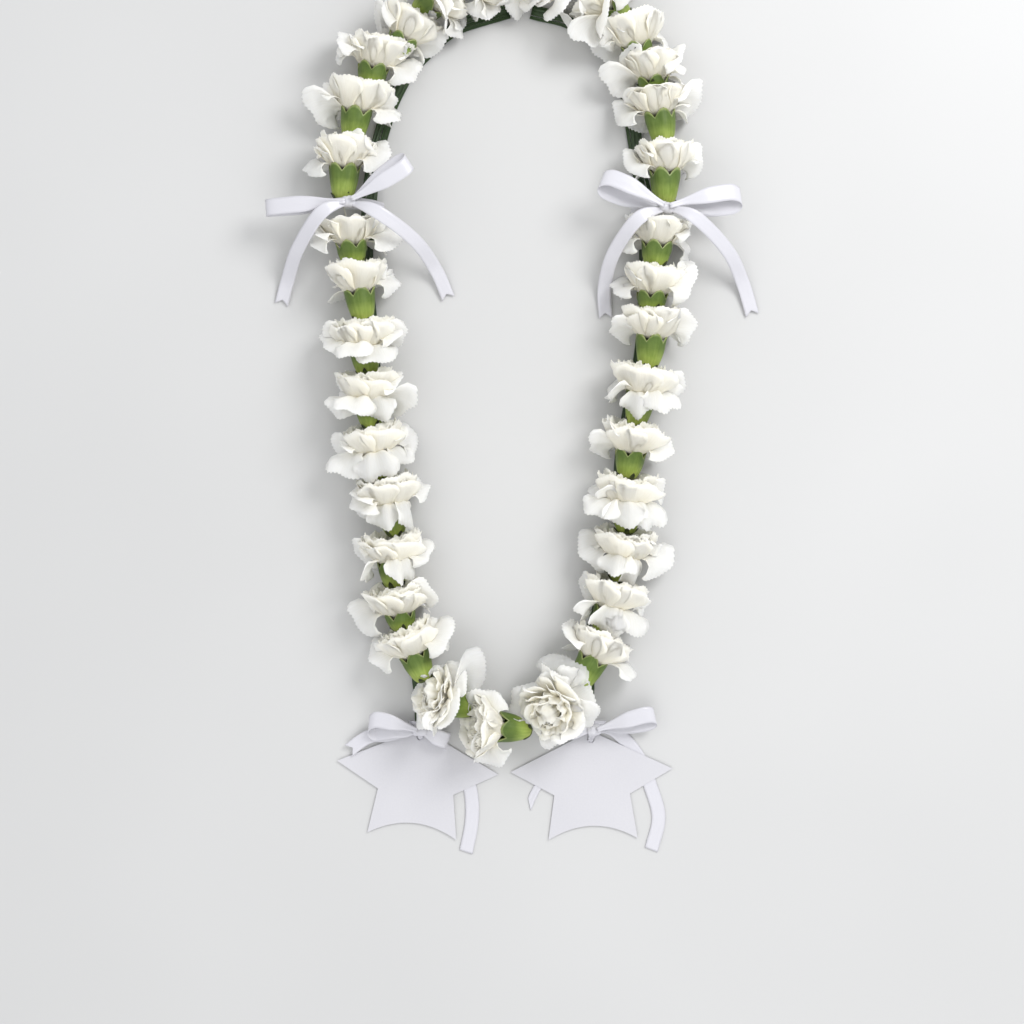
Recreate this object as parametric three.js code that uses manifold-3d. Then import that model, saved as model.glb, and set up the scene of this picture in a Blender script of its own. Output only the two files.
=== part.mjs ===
// A fresh flower lei laid flat: carnation heads strung on a thread, grass blades along the strand,
// four satin bows and two blank cards. Millimetres, +Z up, the loop's length along Y.

import * as THREE from "three";
import { mergeVertices } from "three/addons/utils/BufferGeometryUtils.js";
import Module from "manifold-3d";

const wasm = await Module();
wasm.setup();

const { degToRad, clamp, smoothstep, lerp, seededRandom } = THREE.MathUtils;
const up = new THREE.Vector3(0, 0, 1);

// Clearance between pieces that touch
const gap = 0.3;

// Flower heads
const crownMiddle = 8;
const strandHeight = 21;
const petalThickness = 0.8;
const calyxLength = 24;
const calyxMouth = 10;
const calyxBase = 5;
const calyxRise = 15;
const recessDepth = 3.6;
const toothHeight = 2.6;
const coreSides = 5;
const coreTop = 8.6;
const socketDepth = 12;
const socketSides = 5;
const threadRadius = 0.6;
const threadSides = 3;
const threadKnot = 1.8;
const headsPerRun = 3;

// Middles of the crowns, from the back of the neck down the left side to the turn
const leftHeads = [
  [5, 350],
  [-23, 346.5],
  [-48, 333.5],
  [-68, 313],
  [-89, 295],
  [-100, 266.5],
  [-108.5, 230],
  [-105, 180],
  [-100, 149.5],
  [-96, 112],
  [-93.5, 78],
  [-89, 43.5],
  [-79.5, 10],
  [-78, -26.5],
  [-74, -60],
  [-66, -86.5],
  [-49, -120],
  [-14.5, -138.5],
  [26, -127],
];

// Middles of the crowns, from the turn up the right side to the back of the neck
const rightHeads = [
  [55, -91],
  [65, -56],
  [73.5, -24.5],
  [75.5, 11],
  [78, 45],
  [85, 82.5],
  [91, 119.5],
  [91.5, 147.5],
  [95, 180],
  [99.5, 227],
  [95, 264.5],
  [91, 286.5],
  [80, 308.5],
  [59.5, 331],
  [31, 346],
];

// Heads that lean back from the surface and turn from the strand, in degrees
const leaning = {
  3: { lift: 0, turn: 20 },
  4: { lift: 0, turn: 24 },
  5: { lift: 0, turn: 8 },
  16: { lift: 22, turn: 25 },
  17: { lift: 18, turn: -2 },
  18: { lift: 50, turn: 0 },
  19: { lift: -12, turn: 0 },
  30: { lift: 0, turn: -14 },
  31: { lift: 0, turn: -24 },
};
const leanRise = 4;
const turnCalyces = [18, 19];

// Crowns open towards the top face by this angle at the bottom of the lei, and not at all above it
const openAngle = 26;
const openFrom = 190;
const openTo = 40;

// Petals: how far out and how high above the mouth their root, bend and tip lie, and how wide they are
const outerPetals = {
  count: 5,
  path: [
    [5, 0],
    [15.5, 7],
    [25.5, 0],
  ],
  widths: [5, 17, 28],
  tipPoints: 4,
};
const innerPetals = {
  count: 4,
  path: [
    [5, 1],
    [13.5, 9],
    [18.5, 19.5],
  ],
  widths: [6, 18, 22],
  tipPoints: 3,
};
const petalPivot = [6, 2];
const crownClearance = 3;
const toothDepth = 1.6;
const waveHeight = 1.7;

// Grass blades
const bladeWidth = 2.3;
const bladeThickness = 0.8;
const bladePitch = bladeWidth + 0.4;
const bladesPerSide = 4;
const grassHeight = 1.5;
const grassLift = 6.5;
const grassLiftLength = 18;
const upperBowY = 200;
const bladesCutShort = { left: [], right: [0, 2] };
const leftGrass = [
  [-2, 331],
  [-35, 321],
  [-57, 303],
  [-73, 284],
  [-83, 261],
  [-91, 230],
  [-94, 200],
  [-97, 167],
  [-93, 120],
  [-90, 78],
  [-85, 40],
  [-77, 0],
  [-74.5, -40],
  [-68, -80],
  [-61, -112],
  [-59, -142],
];
const rightGrass = [
  [13, 331],
  [40, 323],
  [62, 304],
  [74, 284],
  [79, 261],
  [83, 230],
  [88, 200],
  [89, 167],
  [87, 120],
  [81, 82],
  [74, 45],
  [71.5, 10],
  [69.5, -25],
  [60, -58],
  [50.5, -92],
  [49.5, -120],
  [53, -142],
];

// Satin ribbon and cards
const ribbonWidth = 9;
const gatheredWidth = 3.6;
const ribbonThickness = 0.7;
const ribbonKnot = [8, 7.6, 6.4];
const cardThickness = 0.8;
const cardHeight = 1.1;
const cardTip = 53.5;
const cardTop = 26;
const cardNotch = [25, -16];
const cardFoot = [29.5, -45.5];
const cardArch = -36.7;
const cardHole = 2.5;
const holeBelowTop = 5.4;
const cards = [
  { name: "card_left", place: [-62.4, -169], turn: -4.9 },
  { name: "card_right", place: [52.6, -170.8], turn: 1.3 },
];

const colours = {
  petals: { color: 0xf6f2e6, roughness: 0.75 },
  calyx: { color: 0x8faf4a, roughness: 0.6 },
  grass: { color: 0x24401f, roughness: 0.5 },
  satin: { color: 0xf1f0f6, roughness: 0.35 },
  card: { color: 0xf3f1f6, roughness: 0.85 },
};

function vector(x, y, z) {
  return new THREE.Vector3(x, y, z);
}

// A closed geometry as a manifold-3d solid, with its faces turned outwards.
function solidOf(geometry) {
  const bare = geometry.clone();
  bare.deleteAttribute("normal");
  bare.deleteAttribute("uv");
  const merged = mergeVertices(bare, 1e-4);
  const corners = [];
  for (let i = 0; i < merged.index.count; i += 3) {
    const [a, b, c] = [0, 1, 2].map((k) => merged.index.getX(i + k));
    if (a !== b && b !== c && a !== c) {
      corners.push(a, b, c);
    }
  }
  const build = (list) =>
    new wasm.Manifold(
      new wasm.Mesh({
        numProp: 3,
        vertProperties: new Float32Array(merged.attributes.position.array),
        triVerts: new Uint32Array(list),
      }),
    );
  const made = build(corners);
  return made.volume() < 0 ? build(corners.reverse()) : made;
}

function geometryOf(solid) {
  const mesh = solid.getMesh();
  return new THREE.BufferGeometry()
    .setAttribute("position", new THREE.BufferAttribute(mesh.vertProperties, 3))
    .setIndex(new THREE.BufferAttribute(mesh.triVerts, 1));
}

function join(solids) {
  return solids.reduce((all, next) => all.add(next));
}

function cut(solid, tools) {
  return tools.reduce((rest, tool) => rest.subtract(tool), solid);
}

// The largest body of a solid, without the scraps that a cut leaves.
function mainBody(solid) {
  return solid.decompose().reduce((a, b) => (a.volume() > b.volume() ? a : b));
}

// A mesh whose geometry is local to the given frame.
function meshIn(frame, name, solid, finish) {
  const geometry = geometryOf(solid).applyMatrix4(frame.clone().invert());
  geometry.computeVertexNormals();
  const mesh = new THREE.Mesh(geometry, new THREE.MeshStandardMaterial(finish));
  mesh.name = name;
  mesh.applyMatrix4(frame);
  return mesh;
}

// A flat band bent along a curve, with a section at each of the curve's points and as many between
// as steps asks for. widthAt gives its width, sideAt the direction of its width.
function band(points, widthAt, thickness, stepsPerPoint, sideAt, offset = 0) {
  const curve = new THREE.CatmullRomCurve3(points.map((p) => vector(...p)));
  const steps = (points.length - 1) * stepsPerPoint;
  const geometry = new THREE.BoxGeometry(1, thickness, 1, 1, 1, steps);
  const place = geometry.attributes.position;
  for (let i = 0; i < place.count; i++) {
    const t = clamp(place.getZ(i) + 0.5, 0, 1);
    const along = curve.getTangent(t);
    const side = sideAt(t, along);
    const across = along.clone().cross(side).normalize();
    const point = curve
      .getPoint(t)
      .addScaledVector(side, offset + place.getX(i) * widthAt(t))
      .addScaledVector(across, place.getY(i));
    place.setXYZ(i, point.x, point.y, point.z);
  }
  return solidOf(geometry);
}

// The width of a band that lies with its face up.
function levelSide(t, along) {
  return along.clone().cross(up).normalize();
}

function rod(from, to, radius, sides) {
  const axis = to.clone().sub(from);
  const geometry = new THREE.CylinderGeometry(radius, radius, axis.length(), sides);
  geometry.applyQuaternion(
    new THREE.Quaternion().setFromUnitVectors(vector(0, 1, 0), axis.clone().normalize()),
  );
  const middle = from.clone().lerp(to, 0.5);
  geometry.translate(middle.x, middle.y, middle.z);
  return solidOf(geometry);
}

// Grass blades

function grassRoute(route) {
  return route.map(([x, y]) => {
    const lift = Math.exp(-(((y - upperBowY) / grassLiftLength) ** 2));
    return [x, y, grassHeight + grassLift * lift];
  });
}

const grassRoutes = { left: grassRoute(leftGrass), right: grassRoute(rightGrass) };
const grassPoints = Object.values(grassRoutes).flatMap((route) =>
  new THREE.CatmullRomCurve3(route.map((p) => vector(...p))).getPoints(90),
);

function grassBlade(side, rank) {
  const route = grassRoutes[side];
  const kept = bladesCutShort[side].includes(rank) ? route.slice(0, -1) : route;
  const offset = (rank - (bladesPerSide - 1) / 2) * bladePitch;
  return band(kept, () => bladeWidth, bladeThickness, 1, levelSide, offset);
}

// What a side's blades take up, with clearance.
function grassSpace(route) {
  const width = bladesPerSide * bladePitch + 2 * gap;
  return band(route, () => width, bladeThickness + 3 * gap, 1, levelSide);
}

// The lowest height that a petal may have: over the grass, over the cards, or on the surface.
function floorAt(x, y) {
  let nearest = Infinity;
  let height = 0;
  for (const point of grassPoints) {
    const distance = Math.hypot(point.x - x, point.y - y);
    if (distance < nearest) {
      nearest = distance;
      height = point.z;
    }
  }
  const half = (bladesPerSide * bladePitch) / 2;
  const overGrass = (height + 1.6) * (1 - smoothstep(nearest, half + 5, half + 11));
  const overCard = (cardHeight + cardThickness + 0.9) * (1 - smoothstep(y, -140, -134));
  return Math.max(0.5, overGrass, overCard);
}

// Flower heads

function headFrames() {
  const middles = [...leftHeads, ...rightHeads];
  const turnAt = leftHeads.length;
  return middles.map((middle, i) => {
    const before = middles[(i + middles.length - 1) % middles.length];
    const after = middles[(i + 1) % middles.length];
    const sign = i < turnAt ? 1 : -1;
    const lean = leaning[i] ?? { lift: 0, turn: 0 };
    const heading =
      Math.atan2(sign * (before[1] - after[1]), sign * (before[0] - after[0])) +
      degToRad(lean.turn);
    const lift = degToRad(lean.lift);
    const axis = vector(
      Math.cos(heading) * Math.cos(lift),
      Math.sin(heading) * Math.cos(lift),
      Math.sin(lift),
    );
    const side = axis.clone().cross(up).normalize();
    const face = side.clone().cross(axis);
    const height = strandHeight + (lean.lift > 0 ? leanRise : 0);
    const mouth = vector(...middle, height).addScaledVector(axis, -crownMiddle);
    return {
      axis,
      side,
      face,
      mouth,
      middle: vector(...middle, height),
      open: degToRad(openAngle) * (1 - smoothstep(middle[1], openTo, openFrom)),
      matrix: new THREE.Matrix4().makeBasis(side, axis, face).setPosition(mouth),
    };
  });
}

const heads = headFrames();
const lastLeft = leftHeads.length - 1;

// The head whose calyx ends in this one's crown, or the one that it faces.
function headAhead(i) {
  const step = i <= lastLeft ? -1 : 1;
  return (i + step + heads.length) % heads.length;
}

function facesAnother(i) {
  return i === 0 || i === heads.length - 1;
}

heads.forEach((head, i) => {
  const reach = heads[headAhead(i)].mouth.distanceTo(head.mouth);
  head.reach = facesAnother(i) ? reach / 2 : reach - crownMiddle + 1;
});
heads.forEach((head, i) => {
  const users = heads[headAhead(i)];
  if (!facesAnother(i)) {
    const room = users.mouth.distanceTo(head.mouth) - calyxRise;
    users.calyx = Math.min(calyxLength, room);
  }
});
heads[lastLeft].calyx = turnCalyces[0];
heads[lastLeft + 1].calyx = turnCalyces[1];

// A point on a head's axis, at a height above its calyx mouth.
function onAxis(head, height) {
  return head.mouth.clone().addScaledVector(head.axis, height);
}

function lathe(profile, sides) {
  return new THREE.LatheGeometry(
    profile.map(([radius, height]) => new THREE.Vector2(radius, height)),
    sides,
  );
}

function calyx(head, spare) {
  const sides = 10;
  const geometry = lathe(
    [
      [0, -head.calyx - spare],
      [calyxBase + spare, -head.calyx - spare],
      [calyxMouth + spare, 0],
      [0, -recessDepth],
    ],
    sides,
  );
  const place = geometry.attributes.position;
  for (let i = 0; i < place.count; i++) {
    if (Math.abs(place.getY(i)) < 1e-6) {
      const turn = Math.round((Math.atan2(place.getX(i), place.getZ(i)) / Math.PI) * (sides / 2));
      place.setY(i, turn % 2 === 0 ? toothHeight + spare : spare - 0.8);
    }
  }
  return solidOf(geometry.applyMatrix4(head.matrix));
}

// What the end of a calyx takes up, with clearance, in the crown that it ends in.
function socket(head) {
  const wide = 1 / Math.cos(Math.PI / socketSides);
  const taper = (calyxMouth - calyxBase) / head.calyx;
  const geometry = lathe(
    [
      [0, -head.calyx - gap],
      [(calyxBase + gap) * wide, -head.calyx - gap],
      [(calyxBase + gap + taper * socketDepth) * wide, socketDepth - head.calyx],
      [0, socketDepth - head.calyx],
    ],
    socketSides,
  );
  return solidOf(geometry.applyMatrix4(head.matrix));
}

// The middle of a crown. Each of its sides faces an outer petal.
function crownCore(head, azimuth) {
  const geometry = lathe(
    [
      [0, gap + 0.1 - recessDepth],
      [6.5, 1.2],
      [10.4, 6.5],
      [0, coreTop],
    ],
    coreSides,
  );
  geometry.rotateY(azimuth + Math.PI / coreSides);
  return solidOf(geometry.applyMatrix4(head.matrix));
}

// Triangles between two rows of points, by their place across the petal.
function zip(lower, upper, faces) {
  let i = 0;
  let j = 0;
  while (i < lower.length - 1 || j < upper.length - 1) {
    const nextLower = (i + 1) / (lower.length - 1);
    const nextUpper = (j + 1) / (upper.length - 1);
    if (j < upper.length - 1 && (i === lower.length - 1 || nextUpper <= nextLower)) {
      faces.push([lower[i], upper[j + 1], upper[j]]);
      j++;
    } else {
      faces.push([lower[i], lower[i + 1], upper[j]]);
      i++;
    }
  }
}

// One petal: rows of points from root to tip, closed on both faces, with a toothed, waved tip.
function petal(head, layer, azimuth, size, droop) {
  const outwards = head.face
    .clone()
    .multiplyScalar(Math.cos(azimuth))
    .addScaledVector(head.side, Math.sin(azimuth));
  const across = outwards.clone().cross(head.axis);
  const turn = droop + head.open * Math.cos(azimuth);
  const place = ([out, high]) => {
    const [r, h] = [(out - petalPivot[0]) * size, (high - petalPivot[1]) * size];
    return [
      petalPivot[0] + r * Math.cos(turn) + h * Math.sin(turn),
      Math.min(petalPivot[1] - r * Math.sin(turn) + h * Math.cos(turn), head.reach - crownClearance),
    ];
  };
  const path = layer.path.map(place);
  const points = [];
  const fronts = [];
  const backs = [];
  path.forEach(([out, high], row) => {
    const [o0, h0] = path[Math.max(row - 1, 0)];
    const [o1, h1] = path[Math.min(row + 1, path.length - 1)];
    const rise = Math.atan2(h1 - h0, o1 - o0);
    const along = outwards
      .clone()
      .multiplyScalar(Math.cos(rise))
      .addScaledVector(head.axis, Math.sin(rise));
    const normal = along.clone().cross(across);
    const count = row === path.length - 1 ? layer.tipPoints : row + 2;
    const [front, back] = [[], []];
    for (let k = 0; k < count; k++) {
      const x = (2 * k) / (count - 1) - 1;
      const edge = Math.abs(x) === 1;
      const tooth = row === path.length - 1 && k % 2 === 0 ? -toothDepth : 0;
      const wave = row === 0 ? 0 : waveHeight * Math.sin(azimuth * 3 + k * 2.4);
      const middle = head.mouth
        .clone()
        .addScaledVector(outwards, out)
        .addScaledVector(head.axis, high)
        .addScaledVector(across, (x * layer.widths[row] * size) / 2)
        .addScaledVector(along, tooth - (row === 2 ? 3 * x * x : 0))
        .addScaledVector(normal, wave);
      middle.z = Math.max(middle.z, floorAt(middle.x, middle.y));
      const half = edge ? 0 : petalThickness / 2;
      front.push(points.push(middle.clone().addScaledVector(normal, half)) - 1);
      back.push(edge ? front[k] : points.push(middle.clone().addScaledVector(normal, -half)) - 1);
    }
    fronts.push(front);
    backs.push(back);
  });
  const faces = [];
  for (let row = 0; row < path.length - 1; row++) {
    zip(fronts[row], fronts[row + 1], faces);
    const under = [];
    zip(backs[row], backs[row + 1], under);
    under.forEach((face) => faces.push(face.reverse()));
  }
  const tip = fronts[path.length - 1];
  const under = backs[path.length - 1];
  for (let k = 0; k < tip.length - 1; k++) {
    faces.push([tip[k], tip[k + 1], under[k + 1]]);
    faces.push([tip[k], under[k + 1], under[k]]);
  }
  const geometry = new THREE.BufferGeometry().setFromPoints(points);
  return solidOf(geometry.setIndex(faces.flat()));
}

function crown(head, index) {
  seededRandom(index + 2);
  const jitter = (range) => (seededRandom() - 0.5) * range;
  const first = seededRandom() * Math.PI * 2;
  const pieces = [crownCore(head, first)];
  for (const layer of [outerPetals, innerPetals]) {
    const start = layer === outerPetals ? first : seededRandom() * Math.PI * 2;
    for (let k = 0; k < layer.count; k++) {
      const azimuth = start + (k * Math.PI * 2) / layer.count + jitter(0.2);
      pieces.push(petal(head, layer, azimuth, 1 + jitter(0.12), jitter(0.25)));
    }
  }
  return join(pieces);
}

// The thread that comes into a head, from the calyx that ends in its crown, or from the head that
// it faces. Where the two lie at an angle it bends in the middle of the crown.
function threadInto(i, radius, end) {
  const head = heads[i];
  const ahead = heads[headAhead(i)];
  const start = facesAnother(i) ? onAxis(ahead, -recessDepth - 1) : onAxis(ahead, 1 - ahead.calyx);
  const finish = onAxis(head, -recessDepth - end);
  if (leaning[i] === undefined) {
    return rod(start, finish, radius, threadSides);
  }
  const bend = onAxis(head, coreTop);
  const second = rod(onAxis(head, coreTop + 1), finish, radius, threadSides);
  return rod(start, bend, radius, threadSides).add(second);
}

function runOf(i) {
  return Math.floor((i + headsPerRun - 1) / headsPerRun);
}

// Neighbouring calyces joined by the thread that they are strung on.
function calyxRuns() {
  const runs = [];
  heads.forEach((head, i) => {
    (runs[runOf(i)] ??= []).push(calyx(head, 0));
  });
  heads.forEach((head, i) => {
    if (i === 0) {
      return;
    }
    const ahead = facesAnother(i) ? 0 : headAhead(i);
    const same = runOf(i) === runOf(ahead);
    runs[runOf(ahead)].push(threadInto(i, threadRadius, same ? 1 : -0.5));
  });
  const turn = [heads[lastLeft], heads[lastLeft + 1]];
  const between = rod(
    onAxis(turn[0], 1 - turn[0].calyx),
    onAxis(turn[1], -turn[1].calyx - 0.5),
    threadRadius,
    threadSides,
  );
  runs[runOf(lastLeft)].push(between);
  const middle = onAxis(heads[0], 0).lerp(onAxis(heads[heads.length - 1], 0), 0.5);
  const knot = new THREE.OctahedronGeometry(threadKnot).translate(middle.x, middle.y, middle.z);
  runs[0].push(solidOf(knot));
  return runs.map(join);
}

// Ribbon

function knotOf([x, y, z]) {
  const geometry = new THREE.BoxGeometry(...ribbonKnot);
  return solidOf(geometry.translate(x, y, z));
}

// A bow's loop: out over the top, round at its end and back below.
function ribbonLoop(knot, end, puff, spare) {
  const start = vector(...knot);
  const heading = vector(...end).sub(start);
  const at = (share, rise) => start.clone().addScaledVector(heading, share).addScaledVector(up, rise);
  const route = [
    at(0.02, 1),
    at(0.45, puff),
    at(0.9, puff * 0.7),
    at(0.9, -puff * 0.6),
    at(0.45, -puff * 0.65),
    at(0.02, -1),
  ].map((point) => point.toArray());
  const flat = vector(heading.x, heading.y, 0);
  const side = flat.cross(up).normalize();
  return band(route, () => ribbonWidth + spare, ribbonThickness + spare, 1, () => side);
}

// A tail. One that goes through a card's hole starts gathered and opens out under the card.
function ribbonTail({ points, threaded, width = ribbonWidth }, spare) {
  const widthAt = (t) => (threaded ? lerp(gatheredWidth, width, smoothstep(t, 0.5, 0.7)) : width);
  const stepsPerPoint = points.length > 5 ? 1 : 2;
  return band(
    points,
    (t) => widthAt(t) + spare,
    ribbonThickness + spare,
    stepsPerPoint,
    levelSide,
  );
}

// What is cut from the end of a tail: a notch in its middle, or one corner.
function tailEnd({ points, width = ribbonWidth, cut: kind = "notch" }) {
  const end = vector(...points.at(-1));
  const along = end.clone().sub(vector(...points.at(-2)));
  const [reach, aside] = kind === "slant" ? [width * 0.84, width / 2] : [width * 0.42, 0];
  const corner = new THREE.CylinderGeometry(reach, reach, 8, 3);
  corner.rotateX(Math.PI / 2);
  corner.translate(aside, 0, 0);
  corner.rotateZ(Math.atan2(along.y, along.x) - Math.PI / 2);
  return solidOf(corner.translate(end.x, end.y, end.z));
}

// A gathered band that starts and ends in the knot.
function tieBand(points, side, spare) {
  return band(points, () => gatheredWidth + spare, ribbonThickness + spare, 1, () => side);
}

const bows = [
  {
    name: "bow_upper_left",
    knot: [-105, 200, 31],
    loops: [
      { end: [-159, 196.5, 27], puff: 5 },
      { end: [-66, 225, 38], puff: 6 },
    ],
    tails: [
      {
        points: [
          [-105, 200, 31],
          [-122, 192, 38],
          [-139, 171, 22],
          [-148, 152, 5],
          [-152.5, 137, 0.6],
        ],
      },
      {
        points: [
          [-105, 200, 31],
          [-86, 192, 38],
          [-63, 176, 24],
          [-50, 159, 6],
          [-42, 141, 0.6],
        ],
      },
    ],
    tie: [
      [-105, 201, 31],
      [-112, 201, 28.5],
      [-117.5, 201, 22],
      [-115, 201, 13],
      [-103, 201, 6.6],
      [-94, 201, 5.4],
      [-86, 201, 5.6],
      [-84.5, 201, 10],
      [-91, 201, 22],
      [-99, 201, 28.5],
      [-105, 201, 31],
    ],
  },
  {
    name: "bow_upper_right",
    knot: [99.5, 196, 31],
    loops: [
      { end: [57, 212, 36], puff: 6 },
      { end: [148, 203, 27], puff: 6 },
    ],
    tails: [
      {
        points: [
          [99.5, 196, 31],
          [81, 188, 38],
          [66, 168, 22],
          [61, 148, 5],
          [62, 128, 0.6],
        ],
      },
      {
        points: [
          [99.5, 196, 31],
          [117, 189, 38],
          [140, 170, 21],
          [152, 151, 5],
          [159, 130, 0.6],
        ],
      },
    ],
    tie: [
      [99.5, 197.5, 31],
      [106, 197.5, 28.5],
      [111, 197.5, 22],
      [108.5, 197.5, 13],
      [97.5, 197.5, 6.6],
      [88, 197.5, 5.4],
      [80, 197.5, 5.6],
      [78.5, 197.5, 10],
      [85, 197.5, 22],
      [93.5, 197.5, 28.5],
      [99.5, 197.5, 31],
    ],
  },
  {
    name: "bow_lower_left",
    knot: [-60.5, -143.7, 8],
    loops: [
      { end: [-94, -140.5, 9], puff: 6 },
      { end: [-42, -150.5, 7], puff: 2.5 },
    ],
    tails: [
      {
        points: [
          [-60.5, -143.7, 8],
          [-78, -144.5, 8],
          [-95, -148.5, 4],
          [-108, -157.5, 2.9],
        ],
      },
      {
        threaded: true,
        cut: "straight",
        points: [
          [-60.5, -143.7, 8],
          [-60.6, -146, 6],
          [-60.65, -147.4, 3],
          [-60.65, -148.1, 1.4],
          [-60.5, -149.2, 0.35],
          [-50, -158, 0.35],
          [-37, -168.5, 0.35],
          [-28, -182, 0.35],
          [-26.5, -203, 0.35],
          [-30.5, -225.5, 0.35],
        ],
      },
    ],
    tie: [
      [-60.5, -139.5, 8],
      [-52.5, -139.5, 7],
      [-50, -139.5, 3],
      [-52, -139.5, 0.5],
      [-59, -139.5, 0.5],
      [-66, -139.5, 0.5],
      [-68, -139.5, 3],
      [-65.5, -139.5, 7],
      [-60.5, -139.5, 8],
    ],
  },
  {
    name: "bow_lower_right",
    knot: [54, -143.4, 8],
    loops: [
      { end: [94, -134.5, 10], puff: 5 },
      { end: [30, -144.5, 7], puff: 2.5 },
    ],
    tails: [
      {
        cut: "straight",
        points: [
          [54, -143.4, 8],
          [65, -144, 3],
          [74, -150, 0.4],
          [84, -163, 0.35],
          [91.5, -181, 0.35],
          [97, -202, 0.35],
          [92, -224, 0.35],
        ],
      },
      {
        threaded: true,
        cut: "slant",
        width: 5,
        points: [
          [54, -143.4, 8],
          [52.9, -147, 6],
          [52.2, -149.2, 3],
          [52.15, -149.9, 1.4],
          [52, -151, 0.35],
          [43, -159, 0.35],
          [28, -169, 0.35],
          [17, -182, 0.35],
          [10, -196.5, 0.35],
        ],
      },
    ],
    tie: [
      [54, -139.5, 8],
      [60, -139.5, 7],
      [62, -139.5, 3],
      [60, -139.5, 0.5],
      [53, -139.5, 0.5],
      [46, -139.5, 0.5],
      [44, -139.5, 3],
      [46.5, -139.5, 7],
      [54, -139.5, 8],
    ],
  },
];

// A blank card: a square cap's outline over a band with an arched foot, and a hole near its top.
function card({ place, turn }) {
  const [nx, ny] = cardNotch;
  const [fx, fy] = cardFoot;
  const outline = new THREE.Shape();
  outline.moveTo(0, cardTop);
  outline.lineTo(-cardTip, 0);
  outline.lineTo(-nx, ny);
  outline.lineTo(-fx, fy);
  outline.quadraticCurveTo(0, 2 * cardArch - fy, fx, fy);
  outline.lineTo(nx, ny);
  outline.lineTo(cardTip, 0);
  outline.closePath();
  outline.holes.push(new THREE.Path().absarc(0, cardTop - holeBelowTop, cardHole, 0, 2 * Math.PI));
  const geometry = new THREE.ExtrudeGeometry(outline, {
    depth: cardThickness,
    bevelEnabled: false,
    curveSegments: 6,
  });
  geometry.rotateZ(degToRad(turn));
  return solidOf(geometry.translate(...place, cardHeight));
}

// The whole lei

const world = new THREE.Matrix4();
const lei = new THREE.Group();

for (const side of Object.keys(grassRoutes)) {
  for (let rank = 0; rank < bladesPerSide; rank++) {
    const name = `grass_${side}_${rank + 1}`;
    lei.add(meshIn(world, name, grassBlade(side, rank), colours.grass));
  }
}

function bowParts(bow, spare) {
  return [
    ...bow.loops.map(({ end, puff }) => ribbonLoop(bow.knot, end, puff, spare)),
    ...bow.tails.map((tail) => ribbonTail(tail, spare)),
    tieBand(bow.tie, vector(0, 1, 0), spare),
  ];
}

for (const bow of bows) {
  const whole = join([knotOf(bow.knot), ...bowParts(bow, 0)]);
  const ends = bow.tails.filter((tail) => tail.cut !== "straight").map(tailEnd);
  const solid = mainBody(cut(whole, ends));
  lei.add(meshIn(world, bow.name, solid, colours.satin));
}

for (const each of cards) {
  lei.add(meshIn(world, each.name, card(each), colours.card));
}

const ribbonSpace = bows.flatMap((bow) => bowParts(bow, 2 * gap));
const bladeSpace = Object.values(grassRoutes).map(grassSpace);
heads.forEach((head, i) => {
  const tools = [
    threadInto(i, threadRadius + 0.6, 0.5),
    calyx(head, gap),
    ...ribbonSpace,
    ...bladeSpace,
  ];
  if (!facesAnother(i)) {
    tools.push(socket(heads[headAhead(i)]));
  }
  if (i === lastLeft) {
    tools.push(calyx(heads[headAhead(i)], gap), socket(heads[lastLeft + 1]));
  }
  const solid = mainBody(cut(crown(head, i), tools));
  const name = `petals_${String(i + 1).padStart(2, "0")}`;
  lei.add(meshIn(head.matrix, name, solid, colours.petals));
});

calyxRuns().forEach((solid, i) => {
  const name = `calyces_${String(i + 1).padStart(2, "0")}`;
  lei.add(meshIn(heads[i * headsPerRun].matrix, name, solid, colours.calyx));
});

// The origin under the middle of the whole
lei.updateMatrixWorld(true);
const extent = new THREE.Box3().setFromObject(lei, true);
const middle = extent.getCenter(new THREE.Vector3());
lei.position.set(-middle.x, -middle.y, -extent.min.z);

export default lei;
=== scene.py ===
import math
import random

import bmesh
import bpy
from mathutils import Matrix, Vector, kdtree


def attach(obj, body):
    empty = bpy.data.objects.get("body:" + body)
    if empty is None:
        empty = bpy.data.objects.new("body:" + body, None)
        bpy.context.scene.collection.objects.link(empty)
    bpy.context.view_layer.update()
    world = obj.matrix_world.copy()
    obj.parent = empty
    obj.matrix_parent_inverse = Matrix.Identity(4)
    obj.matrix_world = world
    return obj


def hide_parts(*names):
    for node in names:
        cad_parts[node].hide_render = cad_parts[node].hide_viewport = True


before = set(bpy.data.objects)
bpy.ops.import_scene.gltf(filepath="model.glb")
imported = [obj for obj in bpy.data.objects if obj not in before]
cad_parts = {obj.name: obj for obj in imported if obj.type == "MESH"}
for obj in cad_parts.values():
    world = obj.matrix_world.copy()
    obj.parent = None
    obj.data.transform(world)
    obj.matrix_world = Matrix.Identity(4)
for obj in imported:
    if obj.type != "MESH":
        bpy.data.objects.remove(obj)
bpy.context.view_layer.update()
mm = 0.001
up = Vector((0, 0, 1))

# where the plan's middle lies in the frame, in millimetres
planShift = Vector((-3.22662, -70.62524, 0))


def smooth(value, low, high):
    t = min(max((value - low) / (high - low), 0), 1)
    return t * t * (3 - 2 * t)


def mix(a, b, t):
    return a + (b - a) * t


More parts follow.
